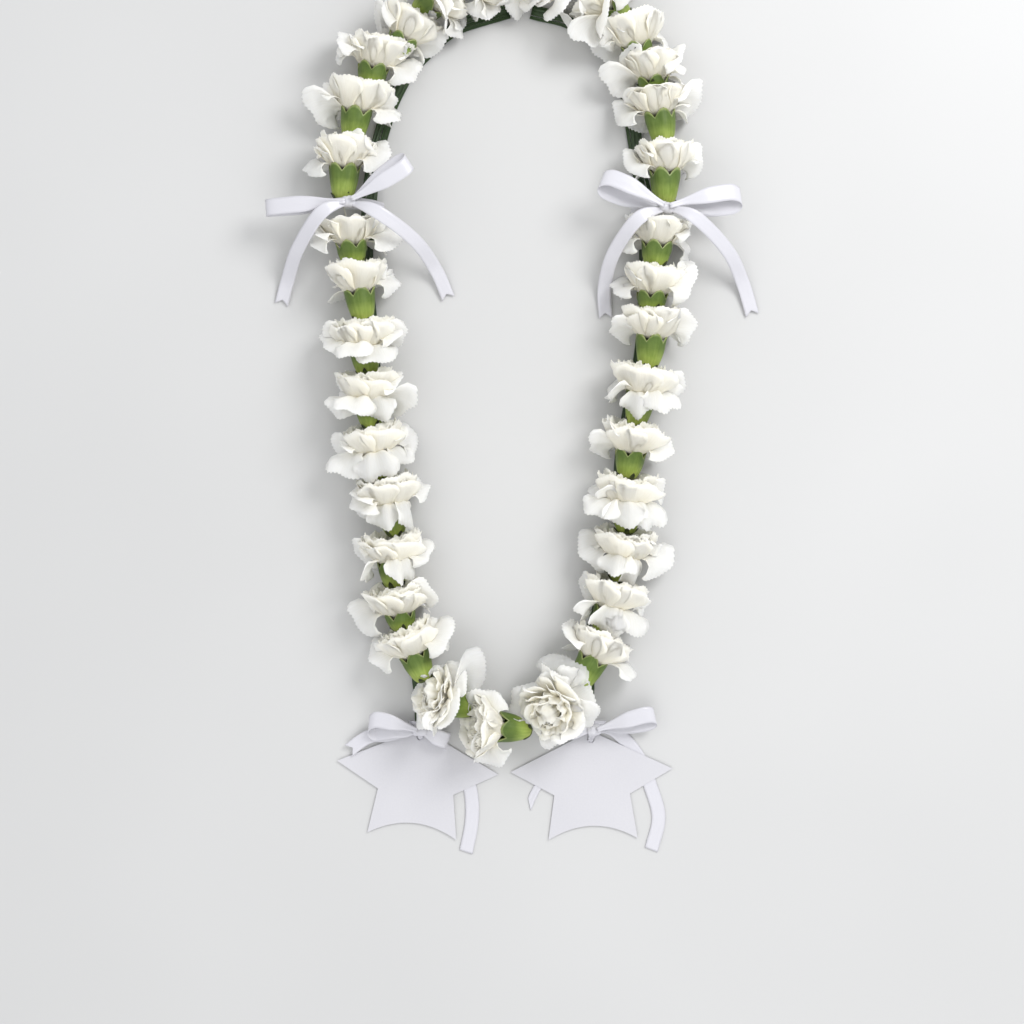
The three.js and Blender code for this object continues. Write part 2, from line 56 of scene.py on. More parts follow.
# camera, light and floor
view = {
    "width": 665.6,  # millimetres across the picture, at the strand's height
    "strandHeight": 21,
    "distance": 1150,
    "daylight": 0.885,
    "daylightTint": (0.98, 0.99, 1, 1),
    "floorSize": 6,  # metres
    "floorDrop": 0.0002,
}
cameraData = bpy.data.cameras.new("camera")
cameraData.sensor_fit = "HORIZONTAL"
cameraData.angle = 2 * math.atan(view["width"] / 2 / view["distance"])
camera = bpy.data.objects.new("camera", cameraData)
camera.location = (planShift + up * (view["strandHeight"] + view["distance"])) * mm
bpy.context.scene.collection.objects.link(camera)
bpy.context.scene.camera = camera
bpy.context.scene.view_settings.view_transform = "Standard"

studio = {
    "key": {"place": (620, 560, 900), "size": 600, "watts": 8.8},
    "fill": {"place": (-800, 100, 900), "size": 1200, "watts": 1.2},
    "front": {"place": (100, -800, 800), "size": 1000, "watts": 2.6},
}
for name, lamp in studio.items():
    lampData = bpy.data.lights.new(name, "AREA")
    lampData.shape = "DISK"
    lampData.size = lamp["size"] * mm
    lampData.energy = lamp["watts"]
    light = bpy.data.objects.new(name, lampData)
    light.location = Vector(lamp["place"]) * mm
    light.rotation_euler = (-light.location).to_track_quat("-Z", "Y").to_euler()
    bpy.context.scene.collection.objects.link(light)

world = bpy.data.worlds.new("studio")
world.use_nodes = True
daylight = world.node_tree.nodes["Background"]
daylight.inputs["Color"].default_value = view["daylightTint"]
daylight.inputs["Strength"].default_value = view["daylight"]
bpy.context.scene.world = world


# a new material; a shader socket's name is written with _ for each space
def newMaterial(name, **fixed):
    material = bpy.data.materials.new(name)
    material.use_nodes = True
    shader = material.node_tree.nodes["Principled BSDF"]
    for socket, value in fixed.items():
        shader.inputs[socket.replace("_", " ")].default_value = value
    return material, material.node_tree, shader


def node(tree, kind, **inputs):
    made = tree.nodes.new("ShaderNode" + kind)
    for socket, value in inputs.items():
        made.inputs[socket.replace("_", " ")].default_value = value
    return made


def coordinates(tree, output, scale):
    source = node(tree, "TexCoord")
    mapping = node(tree, "Mapping", Scale=scale)
    tree.links.new(source.outputs[output], mapping.inputs["Vector"])
    return mapping.outputs["Vector"]


def noiseOf(tree, vector, scale, detail=3):
    made = node(tree, "TexNoise", Scale=scale, Detail=detail)
    tree.links.new(vector, made.inputs["Vector"])
    return made.outputs["Fac"]


def rampOf(tree, factor, stops):
    ramp = node(tree, "ValToRGB")
    bar = ramp.color_ramp
    while len(bar.elements) < len(stops):
        bar.elements.new(0.5)
    for element, (place, colour) in zip(bar.elements, stops):
        element.position = place
        element.color = (*colour, 1)
    tree.links.new(factor, ramp.inputs["Fac"])
    return ramp.outputs["Color"]


def blendOf(tree, kind, amount, first, second):
    made = tree.nodes.new("ShaderNodeMix")
    made.data_type = "RGBA"
    made.blend_type = kind
    made.inputs["Factor"].default_value = amount
    tree.links.new(first, made.inputs["A"])
    tree.links.new(second, made.inputs["B"])
    return made.outputs["Result"]


def bumpOf(tree, height, strength, distance, under=None):
    made = node(tree, "Bump", Strength=strength, Distance=distance)
    tree.links.new(height, made.inputs["Height"])
    if under is not None:
        tree.links.new(under, made.inputs["Normal"])
    return made.outputs["Normal"]


def alongOf(tree):
    source = node(tree, "TexCoord")
    parts = node(tree, "SeparateXYZ")
    tree.links.new(source.outputs["UV"], parts.inputs["Vector"])
    return parts.outputs["Y"]


def petalMaterial(name, stops, alpha=1):
    material, tree, shader = newMaterial(
        name, Alpha=alpha, Roughness=0.6, Sheen_Weight=0.15, Specular_IOR_Level=0.3,
        Subsurface_Weight=0.6, Subsurface_Scale=0.004, Subsurface_Radius=(1, 0.97, 0.88),
    )
    shade = rampOf(tree, alongOf(tree), stops)
    veins = noiseOf(tree, coordinates(tree, "UV", (46, 2.4, 1)), 1, 2)
    veinTint = rampOf(tree, veins, [(0.3, (0.95, 0.94, 0.91)), (0.62, (1, 1, 1))])
    tree.links.new(blendOf(tree, "MULTIPLY", 0.8, shade, veinTint), shader.inputs["Base Color"])
    crumple = noiseOf(tree, coordinates(tree, "Object", (1, 1, 1)), 420, 2)
    normal = bumpOf(tree, veins, 0.35, 0.0004)
    tree.links.new(bumpOf(tree, crumple, 0.25, 0.0005, normal), shader.inputs["Normal"])
    return material


petalFinish = {
    "guard": petalMaterial("petal_white", [
        (0, (0.84, 0.83, 0.62)), (0.3, (0.94, 0.91, 0.80)),
        (0.6, (0.89, 0.878, 0.825)), (1, (0.895, 0.889, 0.855)),
    ]),
    "inner": petalMaterial("petal_ivory", [
        (0, (0.86, 0.80, 0.56)), (0.3, (0.93, 0.86, 0.66)),
        (0.65, (0.935, 0.89, 0.735)), (1, (0.945, 0.918, 0.817)),
    ]),
    "sheer": petalMaterial("petal_sheer", [
        (0, (0.90, 0.89, 0.80)), (0.5, (0.93, 0.93, 0.91)), (1, (0.98, 0.98, 0.97)),
    ], alpha=0.5),
}


def calyxMaterial():
    material, tree, shader = newMaterial("calyx_green", Roughness=0.45, Specular_IOR_Level=0.35)
    # painted shade: the green darkens from near the narrow end towards the teeth, where the crown
    # hangs over it, and is also darker at the very narrow end; the pale tips of the teeth are their
    # own colour
    shade = rampOf(tree, alongOf(tree), [
        (0, (0.11, 0.14, 0.03)), (0.1, (0.42, 0.48, 0.12)), (0.4, (0.29, 0.37, 0.08)),
        (0.7, (0.13, 0.19, 0.035)), (0.93, (0.095, 0.15, 0.028)), (1, (0.36, 0.40, 0.18))])
    blotch = noiseOf(tree, coordinates(tree, "Object", (1, 1, 1)), 150, 3)
    tint = rampOf(tree, blotch, [(0.3, (0.66, 0.72, 0.54)), (0.7, (1, 1, 1))])
    streaks = noiseOf(tree, coordinates(tree, "UV", (34, 1.6, 1)), 1, 2)
    lines = rampOf(tree, streaks, [(0.35, (0.74, 0.80, 0.62)), (0.6, (1, 1, 1))])
    tinted = blendOf(tree, "MULTIPLY", 0.9, shade, tint)
    tree.links.new(blendOf(tree, "MULTIPLY", 0.8, tinted, lines), shader.inputs["Base Color"])
    ribs = noiseOf(tree, coordinates(tree, "UV", (60, 1.5, 1)), 1, 2)
    tree.links.new(bumpOf(tree, ribs, 0.3, 0.0004), shader.inputs["Normal"])
    return material


def grassMaterial():
    material, tree, shader = newMaterial("grass_green", Roughness=0.38, Specular_IOR_Level=0.5)
    streaks = noiseOf(tree, coordinates(tree, "UV", (9, 3, 1)), 1, 4)
    shade = rampOf(tree, streaks, [
        (0.25, (0.010, 0.022, 0.008)), (0.55, (0.028, 0.060, 0.018)), (0.8, (0.10, 0.17, 0.05)),
    ])
    tree.links.new(shade, shader.inputs["Base Color"])
    veins = noiseOf(tree, coordinates(tree, "UV", (40, 4, 1)), 1, 1)
    tree.links.new(bumpOf(tree, veins, 0.4, 0.0003), shader.inputs["Normal"])
    return material


def satinMaterial():
    material, tree, shader = newMaterial(
        "satin_white", Roughness=0.28, Sheen_Weight=0.3, Sheen_Roughness=0.35,
        Specular_IOR_Level=0.6, Anisotropic=0.5,
    )
    threads = noiseOf(tree, coordinates(tree, "UV", (90, 260, 1)), 1, 1)
    folds = noiseOf(tree, coordinates(tree, "UV", (2, 9, 1)), 1, 2)
    shade = rampOf(tree, threads, [(0.3, (0.55, 0.545, 0.585)), (0.7, (0.63, 0.625, 0.67))])
    tree.links.new(shade, shader.inputs["Base Color"])
    normal = bumpOf(tree, folds, 0.25, 0.0012)
    tree.links.new(bumpOf(tree, threads, 0.12, 0.0001, normal), shader.inputs["Normal"])
    return material


def cardMaterial():
    material, tree, shader = newMaterial("card_white", Roughness=0.85, Specular_IOR_Level=0.25)
    fibres = noiseOf(tree, coordinates(tree, "Object", (1, 1, 1)), 900, 4)
    cloudy = noiseOf(tree, coordinates(tree, "Object", (1, 1, 1)), 18, 2)
    paper = rampOf(tree, fibres, [(0.3, (0.575, 0.57, 0.60)), (0.7, (0.595, 0.59, 0.62))])
    shade = rampOf(tree, cloudy, [(0.3, (0.965, 0.965, 0.97)), (0.7, (1, 1, 1))])
    tree.links.new(blendOf(tree, "MULTIPLY", 1, paper, shade), shader.inputs["Base Color"])
    tree.links.new(bumpOf(tree, fibres, 0.15, 0.0002), shader.inputs["Normal"])
    return material


def floorMaterial():
    material, tree, shader = newMaterial("floor_pale", Roughness=0.8, Specular_IOR_Level=0.2)
    cloudy = noiseOf(tree, coordinates(tree, "Object", (1, 1, 1)), 3, 2)
    shade = rampOf(tree, cloudy, [(0.3, (0.55, 0.55, 0.55)), (0.7, (0.58, 0.58, 0.58))])
    tree.links.new(shade, shader.inputs["Base Color"])
    return material


def threadMaterial():
    material, tree, shader = newMaterial("thread_cream", Roughness=0.8)
    strands = noiseOf(tree, coordinates(tree, "Object", (1, 1, 1)), 2500, 1)
    shade = rampOf(tree, strands, [(0.3, (0.62, 0.60, 0.52)), (0.7, (0.80, 0.78, 0.70))])
    tree.links.new(shade, shader.inputs["Base Color"])
    tree.links.new(bumpOf(tree, strands, 0.5, 0.0002), shader.inputs["Normal"])
    return material


calyxFinish = calyxMaterial()
grassFinish = grassMaterial()
satinFinish = satinMaterial()
cardFinish = cardMaterial()
threadFinish = threadMaterial()
print("materials made")


def newBody():
    body = bmesh.new()
    body.loops.layers.uv.new("UVMap")
    return body


# a grid whose every point goes where place(across, along) says; across is -1 to 1 and along 0 to 1,
# and tooth gives its far edge one small point between each two columns
def bentGrid(body, columns, rows, place, material=0, tooth=0):
    uv = body.loops.layers.uv.active
    made = bmesh.ops.create_grid(body, x_segments=columns, y_segments=rows, size=1, calc_uvs=True)
    verts = made["verts"]
    if tooth:
        margin = sorted((vert for vert in verts if vert.co.y > 0.999), key=lambda vert: vert.co.x)
        for a, b in zip(margin, margin[1:]):
            verts.append(body.verts.new((a.co + b.co) / 2 + Vector((0, 2 * tooth, 0))))
            for loop in body.faces.new((a, b, verts[-1])).loops:
                loop[uv].uv = (loop.vert.co.to_2d() + Vector((1, 1))) / 2
    for vert in verts:
        vert.co = place(vert.co.x, (vert.co.y + 1) / 2)
    faces = {face for vert in verts for face in vert.link_faces}
    for face in faces:
        face.material_index = material
    return list(faces)


def closeSeam(body, faces):
    verts = {vert for face in faces for vert in face.verts}
    bmesh.ops.remove_doubles(body, verts=list(verts), dist=0.01)


# gives open sheets a thickness: a second layer of faces, moved along each point's own normal
def thicken(body, thickness):
    bmesh.ops.recalc_face_normals(body, faces=body.faces[:])
    body.normal_update()
    twin = body.verts.layers.int.new("twin")
    normals = []
    for i, vert in enumerate(body.verts):
        vert[twin] = i
        normals.append(vert.normal.copy())
    made = bmesh.ops.extrude_face_region(body, geom=body.faces[:], use_keep_orig=True)
    for item in made["geom"]:
        if isinstance(item, bmesh.types.BMVert):
            item.co += normals[item[twin]] * thickness
    body.verts.layers.int.remove(twin)
    bmesh.ops.recalc_face_normals(body, faces=body.faces[:])


def addPiece(name, body, finishes, replaced):
    for face in body.faces:
        face.smooth = True
    mesh = bpy.data.meshes.new(name)
    body.transform(Matrix.Scale(mm, 4))
    body.to_mesh(mesh)
    body.free()
    for finish in finishes:
        mesh.materials.append(finish)
    piece = bpy.data.objects.new(name, mesh)
    bpy.context.scene.collection.objects.link(piece)
    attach(piece, "root")
    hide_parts(*replaced)
    return piece


# points at even steps of the parameter on a smooth curve through the given ones
def smoothCurve(points, steps):
    ends = [Vector(point) for point in points]
    ends = [2 * ends[0] - ends[1], *ends, 2 * ends[-1] - ends[-2]]
    made = []
    spans = len(points) - 1
    for i in range(steps + 1):
        at = min(i / steps * spans, spans - 1e-9)
        k = int(at)
        t = at - k
        a, b, c, d = ends[k:k + 4]
        squared = 2 * a - 5 * b + 4 * c - d
        cubed = 3 * b - a - 3 * c + d
        made.append(0.5 * (2 * b + (c - a) * t + squared * t * t + cubed * t ** 3))
    return made


# the same curve at even distances
def evenCurve(points, steps):
    fine = smoothCurve(points, steps * 8)
    reach = [0]
    for a, b in zip(fine, fine[1:]):
        reach.append(reach[-1] + (b - a).length)
    made = []
    k = 0
    for i in range(steps + 1):
        goal = reach[-1] * i / steps
        while k < len(fine) - 2 and reach[k + 1] < goal:
            k += 1
        span = max(reach[k + 1] - reach[k], 1e-9)
        made.append(fine[k].lerp(fine[k + 1], (goal - reach[k]) / span))
    return made, reach[-1]


def directions(points):
    last = len(points) - 1
    spans = [points[min(i + 1, last)] - points[max(i - 1, 0)] for i in range(last + 1)]
    return [span.normalized() for span in spans]


# where the middle of each head sits in the plan, as in the solids
leftHeads = [
    (5, 350), (-23, 346.5), (-48, 333.5), (-68, 313), (-89, 295), (-100, 266.5), (-108.5, 230),
    (-105, 180), (-100, 149.5), (-96, 112), (-93.5, 78), (-89, 43.5), (-79.5, 10), (-78, -26.5),
    (-74, -60), (-66, -86.5), (-49, -120), (-14.5, -138.5), (26, -127),
]
rightHeads = [
    (55, -91), (65, -56), (73.5, -24.5), (75.5, 11), (78, 45), (85, 82.5), (91, 119.5),
    (91.5, 147.5), (95, 180), (99.5, 227), (95, 264.5), (91, 286.5), (80, 308.5), (59.5, 331),
    (31, 346),
]
strand = {
    "height": 21,
    "mouthBelowMiddle": 8,
    "calyxLength": 20,
    "baseAboveMouth": 18.5,  # how far above a mouth the next calyx ends
    # lift from the surface and turn from the strand, in degrees
    "leaning": {
        3: (0, 20), 4: (0, 24), 5: (0, 8), 16: (22, 25), 17: (18, -2), 18: (50, 0), 19: (-12, 0),
        30: (0, -14), 31: (0, -24),
    },
    "leanRise": 4,
    "turnCalyces": (18, 19),
    "open": 16,  # degrees that the lowest crowns open towards the top
    "openFrom": 230,
    "openTo": 40,
    "opened": {17: 4},
    # degrees that the petals towards the viewer hang, or stand up where it is below 0
    "front": {
        3: -50, 4: -50, 5: -50, 6: -50, 7: -50, 8: -50, 9: 30, 10: 46, 11: 48, 12: 36, 13: 45,
        14: -50, 15: -50, 16: 0, 17: -60, 18: 0, 19: -50, 20: 42, 21: 34, 22: 36, 23: -50, 24: 32,
        25: -50, 26: -50, 27: -50, 28: -50, 29: -50, 30: -50, 31: -50,
    },
    "headsPerRun": 3,
}


def strandHeads():
    middles = [*leftHeads, *rightHeads]
    count = len(middles)
    heads = []
    for i, middle in enumerate(middles):
        before = middles[i - 1]
        after = middles[(i + 1) % count]
        sign = 1 if i < len(leftHeads) else -1
        lift, turn = strand["leaning"].get(i, (0, 0))
        heading = math.atan2(sign * (before[1] - after[1]), sign * (before[0] - after[0]))
        heading += math.radians(turn)
        rise = math.radians(lift)
        axis = Vector((
            math.cos(heading) * math.cos(rise), math.sin(heading) * math.cos(rise), math.sin(rise)))
        side = axis.cross(up).normalized()
        height = strand["height"] + (strand["leanRise"] if lift > 0 else 0)
        centre = Vector((*middle, height)) + planShift
        heads.append({
            "axis": axis,
            "side": side,
            "face": side.cross(axis),
            "mouth": centre - axis * strand["mouthBelowMiddle"],
            "low": 1 - smooth(middle[1], strand["openTo"], strand["openFrom"]),
        })
    turnAt = len(leftHeads)
    for i, head in enumerate(heads):
        head["open"] = math.radians(strand["opened"].get(i, strand["open"] * head["low"]))
        head["front"] = math.radians(strand["front"].get(i, 0))
        head["ahead"] = (i + (-1 if i < turnAt else 1)) % count
        head["facesAnother"] = i in (0, count - 1)
        head["gapAhead"] = (heads[head["ahead"]]["mouth"] - head["mouth"]).length
    for head in heads:
        if not head["facesAnother"]:
            room = head["gapAhead"] - strand["baseAboveMouth"]
            heads[head["ahead"]]["calyx"] = min(strand["calyxLength"], room)
    heads[turnAt - 1]["calyx"], heads[turnAt]["calyx"] = strand["turnCalyces"]
    return heads


heads = strandHeads()


def onAxis(head, height):
    return head["mouth"] + head["axis"] * height


# the grass routes, which the petals also lie over
leftGrass = [
    (-2, 331), (-35, 321), (-57, 303), (-73, 284), (-83, 261), (-91, 230), (-94, 200), (-97, 167),
    (-93, 120), (-90, 78), (-85, 40), (-77, 0), (-74.5, -40), (-68, -80), (-61, -112), (-59, -142),
]
rightGrass = [
    (13, 331), (40, 323), (62, 304), (74, 284), (79, 261), (83, 230), (88, 200), (89, 167),
    (87, 120), (81, 82), (74, 45), (71.5, 10), (69.5, -25), (60, -58), (50.5, -92), (49.5, -120),
    (53, -142),
]
grass = {
    "height": 1.5,
    "lift": 6.5,
    "liftLength": 18,
    "liftY": 200,
    "pitch": 2.4,
    "width": 2.25,
    "thickness": 0.4,
    "keel": 0.35,
    "blades": 4,
    "samples": 240,  # places along each route that petals keep above
    "cutShort": {"left": [], "right": [0, 2]},  # blades that end a step before the others
    "columns": 4,
    "rows": 150,
    "wander": [(0.35, 31, 1), (0.2, 77, 2)],  # each wave's size, how often, and share of the phase
    "tilt": (0.25, 23, 3),
}


def grassRoute(route):
    made = []
    for x, y in route:
        lift = math.exp(-(((y - grass["liftY"]) / grass["liftLength"]) ** 2))
        made.append(Vector((x, y, grass["height"] + grass["lift"] * lift)) + planShift)
    return made


grassRoutes = {"left": grassRoute(leftGrass), "right": grassRoute(rightGrass)}
grassPlaces = []
for route in grassRoutes.values():
    grassPlaces += smoothCurve(route, grass["samples"])
grassTree = kdtree.KDTree(len(grassPlaces))
for i, point in enumerate(grassPlaces):
    grassTree.insert((point.x, point.y, 0), i)
grassTree.balance()

# what petals lie over, in millimetres
under = {
    "surface": 0.5,
    "overGrass": 1.4,
    "besideGrass": (2, 8),
    "card": 2.8,
    "cardEdge": -137,
    # knots and loops near the bottom: two ends, half width and top
    "bows": [((-96, -140.5), (-42, -149), 8, 14.5), ((94, -135), (30, -144), 8, 14.5)],
    "slope": 6,
    "softness": 5,
}


def floorUnder(point):
    _, index, distance = grassTree.find((point.x, point.y, 0))
    half = grass["blades"] * grass["pitch"] / 2
    near, far = under["besideGrass"]
    overGrass = grassPlaces[index].z + under["overGrass"]
    floor = max(under["surface"], overGrass * (1 - smooth(distance, half + near, half + far)))
    x, y = point.x - planShift.x, point.y - planShift.y
    edge, slope = under["cardEdge"], under["slope"]
    floor = max(floor, under["card"] * (1 - smooth(y, edge, edge + slope)))
    for (ax, ay), (bx, by), half, top in under["bows"]:
        t = ((x - ax) * (bx - ax) + (y - ay) * (by - ay)) / ((bx - ax) ** 2 + (by - ay) ** 2)
        t = min(max(t, 0), 1)
        away = math.hypot(x - mix(ax, bx, t), y - mix(ay, by, t))
        floor = max(floor, top * (1 - smooth(away, half, half + slope)))
    return floor


# the green calyx under each head; the profile is a share of its length and a radius
calyxForm = {
    "profile": [(0, 2.7), (0.04, 4.2), (0.12, 5.4), (0.3, 6.8), (0.55, 8.0), (0.8, 8.9), (1, 9.4)],
    "toothRise": 5.6,
    "notchBelowMouth": 1.6,
    "wall": 0.7,
    "bracts": 4,
    "bractLength": 4,
    "bractWidth": 5,
    "bractTurns": (-0.2, 0.2),
    "bractReaches": (0.7, 1.4),
    "bractLeans": (0.4, 1.5),
    "bractGap": 0.25,
    "bractGrid": (4, 5),
    "teeth": 5,
    "toothShape": 1.8,  # more makes the teeth rounder
    "toothFrom": 0.72,  # where the teeth begin, as a share of the length
    "toothFlare": 0.35,
    "flareFrom": 0.85,
    "flutes": (0.1, 0.3),
    "columns": 30,
    "rows": 12,
    "seed": 5,
}


def calyxRadius(share):
    points = calyxForm["profile"]
    share = min(max(share, 0), 1)
    for (s0, r0), (s1, r1) in zip(points, points[1:]):
        if share <= s1:
            return mix(r0, r1, (share - s0) / (s1 - s0))
    return points[-1][1]


def around(head, angle):
    return head["face"] * math.cos(angle) + head["side"] * math.sin(angle)


def addCalyx(body, head, rng):
    length = head["calyx"]
    start = rng.random() * math.tau
    flutes = rng.uniform(*calyxForm["flutes"])
    teeth = calyxForm["teeth"]

    def wall(across, along):
        angle = start + across * math.pi
        # 1 at a tooth's top and 0 in the notch
        tooth = 1 - abs(((across + 1) * teeth / 2) % 1 * 2 - 1) ** calyxForm["toothShape"]
        rim = calyxForm["toothRise"] * tooth - calyxForm["notchBelowMouth"]
        height = -length + along * length + rim * smooth(along, calyxForm["toothFrom"], 1)
        flute = flutes * math.cos(teeth * across * math.pi)
        radius = calyxRadius(along) + flute * smooth(along, 0.1, 0.6)
        radius += calyxForm["toothFlare"] * smooth(along, calyxForm["flareFrom"], 1) * tooth
        return onAxis(head, height) + around(head, angle) * radius

    closeSeam(body, bentGrid(body, calyxForm["columns"], calyxForm["rows"], wall))

    for k in range(calyxForm["bracts"]):
        turn = start + k * math.tau / calyxForm["bracts"] + rng.uniform(*calyxForm["bractTurns"])
        reach = calyxForm["bractLength"] * rng.uniform(*calyxForm["bractReaches"])
        lean = rng.uniform(*calyxForm["bractLeans"])

        def bract(across, along):
            width = calyxForm["bractWidth"] * max(1 - along, 0) ** 0.7 * (0.75 + 0.5 * along)
            height = along * reach
            radius = calyxRadius(height / length) + calyxForm["bractGap"] + lean * along ** 2
            angle = turn + across * width / 2 / max(radius, 3)
            return onAxis(head, -length + height) + around(head, angle) * radius

        bentGrid(body, *calyxForm["bractGrid"], bract, 1)


def bractMaterial():
    material, tree, shader = newMaterial("bract_green", Roughness=0.5, Specular_IOR_Level=0.4)
    shade = rampOf(tree, alongOf(tree), [
        (0, (0.12, 0.15, 0.03)), (0.45, (0.05, 0.07, 0.015)), (1, (0.018, 0.018, 0.008)),
    ])
    tree.links.new(shade, shader.inputs["Base Color"])
    ribs = noiseOf(tree, coordinates(tree, "UV", (24, 2, 1)), 1, 1)
    tree.links.new(bumpOf(tree, ribs, 0.4, 0.0003), shader.inputs["Normal"])
    return material


bractFinish = bractMaterial()
threadForm = {
    "radius": 0.5,
    "sides": 8,
    "knot": 1.8,
    "fromEnd": (0.4, 0.6),  # inside a calyx's narrow end, where it leaves and where it passes on
    "overMouth": 4,
    "intoNext": 2,
}


def addThread(body, start, end):
    axis = end - start
    turn = axis.to_track_quat("Z", "Y").to_matrix().to_4x4()
    matrix = Matrix.Translation((start + end) / 2) @ turn
    made = bmesh.ops.create_cone(
        body, cap_ends=True, segments=threadForm["sides"], radius1=threadForm["radius"],
        radius2=threadForm["radius"], depth=axis.length, matrix=matrix,
    )
    for face in {face for vert in made["verts"] for face in vert.link_faces}:
        face.material_index = 2


def runOf(i):
    return (i + strand["headsPerRun"] - 1) // strand["headsPerRun"]


def makeCalyces():
    rng = random.Random(calyxForm["seed"])
    leaves, passes = threadForm["fromEnd"]
    inside = threadForm["overMouth"]
    runs = {}
    for i, head in enumerate(heads):
        runs.setdefault(runOf(i), []).append(i)
    turnAt = len(leftHeads)
    for run, members in runs.items():
        body = newBody()
        for i in members:
            addCalyx(body, heads[i], rng)
        thicken(body, calyxForm["wall"])
        for i in members:
            head = heads[i]
            narrowEnd = onAxis(head, -head["calyx"] + leaves)
            if i == turnAt - 1:
                addThread(body, narrowEnd, onAxis(heads[turnAt], leaves - heads[turnAt]["calyx"]))
            elif i != turnAt:
                behind = heads[i + 1 if i < turnAt else i - 1]
                addThread(body, narrowEnd, onAxis(behind, threadForm["intoNext"]))
            addThread(body, onAxis(head, inside), onAxis(head, -head["calyx"] + passes))
        if run == 0:
            addThread(body, onAxis(heads[0], inside), onAxis(heads[-1], inside))
            knotPlace = (onAxis(heads[0], 0) + onAxis(heads[-1], 0)) / 2
            made = bmesh.ops.create_icosphere(
                body, subdivisions=2, radius=threadForm["knot"],
                matrix=Matrix.Translation(knotPlace),
            )
            for face in {face for vert in made["verts"] for face in vert.link_faces}:
                face.material_index = 2
        name = f"{run + 1:02d}"
        finishes = [calyxFinish, bractFinish, threadFinish]
        addPiece("calyx_run_" + name, body, finishes, ["calyces_" + name])


makeCalyces()
print("calyces made")


# the petals' layers; bend is a petal's middle line, out from the strand and up from the mouth, as
# four handles, and front the share of the head's own front that the layer follows
bloomForm = {
    "guard": {
        "count": 6, "bend": [(6, 0), (9, 7), (17, 9), (27.5, 3)], "claw": 9, "width": 31,
        "round": 6.5, "pleats": 1.6, "pleatDepth": 0.9, "ruffle": 1.5, "lobeDepth": 0.9,
        "cup": -0.3, "wrap": 0.25, "overlap": 0, "droop": (-0.25, 0.35), "curl": (-3, 4),
        "bank": 1.1, "front": 1, "limit": 30, "finish": 0,
    },
    "skirt": {
        "count": 6, "bend": [(6, 0), (9, 7), (15, 12), (23, 12)], "claw": 9, "width": 27,
        "round": 6, "pleats": 1.7, "pleatDepth": 0.8, "ruffle": 1.2, "lobeDepth": 0.8, "cup": 0.2,
        "wrap": 0.35, "overlap": 0, "droop": (-0.3, 0.2), "curl": (-3, 4), "bank": 0.8,
        "front": 0.6, "limit": 30, "finish": 0,
    },
    "cup": {
        "count": 7, "bend": [(5, 0), (11, 3), (15, 10), (19.5, 19.5)], "claw": 9, "width": 29,
        "round": 4, "pleats": 1.6, "pleatDepth": 0.8, "ruffle": 0.5, "lobeDepth": 0.5, "cup": 0,
        "wrap": 0.9, "overlap": 0.12, "droop": (-0.08, 0.08), "curl": (-0.5, 0.5), "bank": 0,
        "front": 0, "limit": 24, "finish": 1,
    },
    "fold": {
        "count": 7, "bend": [(4, 0), (9, 4), (13, 11), (16, 20.5)], "claw": 8, "width": 24,
        "round": 3.5, "pleats": 2.1, "pleatDepth": 1.0, "ruffle": 0.6, "lobeDepth": 0.6, "cup": 0,
        "wrap": 0.9, "overlap": 0.15, "droop": (-0.08, 0.08), "curl": (-1, 1), "bank": 0,
        "front": 0, "limit": 24, "finish": 1,
    },
    "heart": {
        "count": 9, "bend": [(3.5, 0), (6, 6), (10, 12), (11.5, 20)], "claw": 4, "width": 17,
        "round": 3, "pleats": 2.2, "pleatDepth": 1.1, "ruffle": 0.6, "lobeDepth": 0.7, "cup": 0,
        "wrap": 0.9, "overlap": 0.2, "droop": (-0.1, 0.1), "curl": (-1, 1), "bank": 0, "front": 0,
        "limit": 23, "finish": 1,
    },
    "core": {
        "count": 8, "bend": [(1.5, 0), (3, 6), (7, 12), (6.5, 18.5)], "claw": 2, "width": 11,
        "round": 2, "pleats": 2, "pleatDepth": 0.9, "ruffle": 0.5, "lobeDepth": 0.6, "cup": 0,
        "wrap": 0.9, "overlap": 0.2, "droop": (-0.1, 0.1), "curl": (-1, 1), "bank": 0, "front": 0,
        "limit": 19, "finish": 1,
    },
}
openForm = {
    "guard": bloomForm["guard"],
    "skirt": bloomForm["skirt"],
    "outer": {
        "count": 7, "bend": [(5, 0), (9, 6), (14, 11), (22, 14)], "claw": 8, "width": 25,
        "round": 5, "pleats": 1.7, "pleatDepth": 0.9, "ruffle": 1.2, "lobeDepth": 0.7, "cup": 0.2,
        "wrap": 0.6, "overlap": 0.1, "droop": (-0.12, 0.12), "curl": (-2, 2), "bank": 0,
        "front": 0, "limit": 24, "finish": 1,
    },
    "middle": {
        "count": 7, "bend": [(4, 0), (7, 7), (12, 14), (16, 18)], "claw": 7, "width": 22,
        "round": 4, "pleats": 2, "pleatDepth": 1.1, "ruffle": 1.2, "lobeDepth": 0.8, "cup": 0.2,
        "wrap": 0.7, "overlap": 0.15, "droop": (-0.15, 0.15), "curl": (-2, 2), "bank": 0,
        "front": 0, "limit": 24, "finish": 1,
    },
    "inner": {
        "count": 7, "bend": [(3, 0), (9, 7), (12, 15), (6.5, 20)], "claw": 5, "width": 18,
        "round": 4, "pleats": 2.2, "pleatDepth": 0.9, "ruffle": 0.9, "lobeDepth": 0.8, "cup": 0.3,
        "wrap": 0.7, "overlap": 0.2, "droop": (-0.12, 0.12), "curl": (-2, 2), "bank": 0,
        "front": 0, "limit": 24, "finish": 1,
    },
    "eye": {
        "count": 6, "bend": [(1.5, 0), (6, 8), (7, 17), (-2.5, 18.5)], "claw": 3, "width": 14,
        "round": 4, "pleats": 2.2, "pleatDepth": 0.9, "ruffle": 0.9, "lobeDepth": 0.8, "cup": 0.3,
        "wrap": 0.6, "overlap": 0.2, "droop": (-0.15, 0.15), "curl": (-2, 1), "bank": 0,
        "front": 0, "limit": 24, "finish": 1,
    },
}
